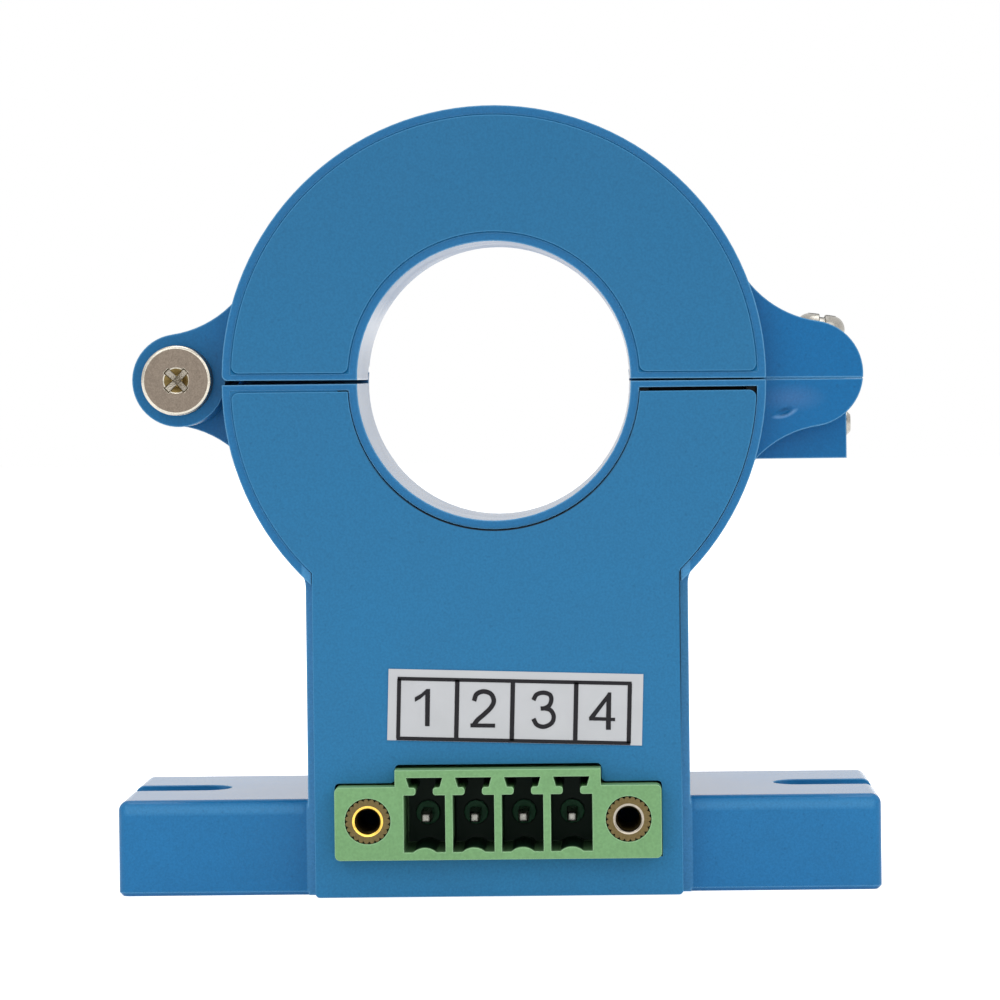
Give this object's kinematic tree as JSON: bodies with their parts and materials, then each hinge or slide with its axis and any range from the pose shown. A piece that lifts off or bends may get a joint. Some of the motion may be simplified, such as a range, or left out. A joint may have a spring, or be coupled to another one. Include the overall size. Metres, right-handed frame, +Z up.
{
  "type": "current transformer",
  "caption": "Split-core current transformer: a ring hinged open above a slotted foot base, closed by a clamp screw, with a plug-in terminal header at the front.",
  "frame": {"origin": "centre of the underside of the base's footprint, on the mounting surface", "axes": "+Z up from the mounting surface, -Y out of the front face with the terminal header, +X towards the clamp screw"},
  "size_m": [0.06, 0.0237, 0.0617],
  "materials": {
    "housing_blue": "fine-grained blue moulding",
    "cover_blue": "fine-grained blue moulding",
    "core_steel": "wound strip, dull grey",
    "plated_steel": "bright nickel plate",
    "header_green": "satin green moulding",
    "contact_tin": "tinned",
    "insert_brass": "turned, bright",
    "board_green": "solder resist",
    "chip_black": "moulded black",
    "capacitor_can": "drawn can",
    "label_white": "printed film"
  },
  "bodies": {
    "lower_body": {"lower_housing": "housing_blue", "lower_cover": "cover_blue", "lower_core_left": "core_steel", "lower_core_right": "core_steel", "hinge_screw": "plated_steel", "hinge_nut": "plated_steel", "clamp_nut": "plated_steel", "nut_pin": "plated_steel", "terminal_header": "header_green", "header_contact_1": "contact_tin", "header_contact_2": "contact_tin", "header_contact_3": "contact_tin", "header_contact_4": "contact_tin", "header_insert_left": "insert_brass", "header_insert_right": "insert_brass", "main_board": "board_green", "hall_board": "board_green", "hall_element": "chip_black", "amplifier": "chip_black", "capacitor": "capacitor_can", "resistors": "chip_black", "number_label": "label_white"},
    "upper_jaw": {"upper_housing": "housing_blue", "upper_cover": "cover_blue", "upper_core": "core_steel"},
    "clamp_washer_body": {"clamp_washer": "plated_steel"},
    "clamp_screw_body": {"clamp_screw": "plated_steel"}
  },
  "joints": [
    {"name": "jaw_open", "type": "hinge", "parent": "lower_body", "child": "upper_jaw", "pos_m": [-0.02477, -0.005, 0.04053], "axis": [0, -1, 0], "range_deg": [0, 180]},
    {"name": "clamp_lift", "type": "slide", "parent": "upper_jaw", "child": "clamp_washer_body", "axis": [0.1392, 0, 0.9903], "range_m": [0, 0.0016]},
    {"name": "clamp_spin", "type": "hinge", "parent": "clamp_washer_body", "child": "clamp_screw_body", "pos_m": [0.0258, -0.004, 0.04343], "axis": [0.1392, 0, 0.9903], "range_deg": [0, 1440]}
  ],
  "couplings": [
    {"joint": "clamp_spin", "follows": "clamp_lift", "rad_per_m": 15708}
  ]
}
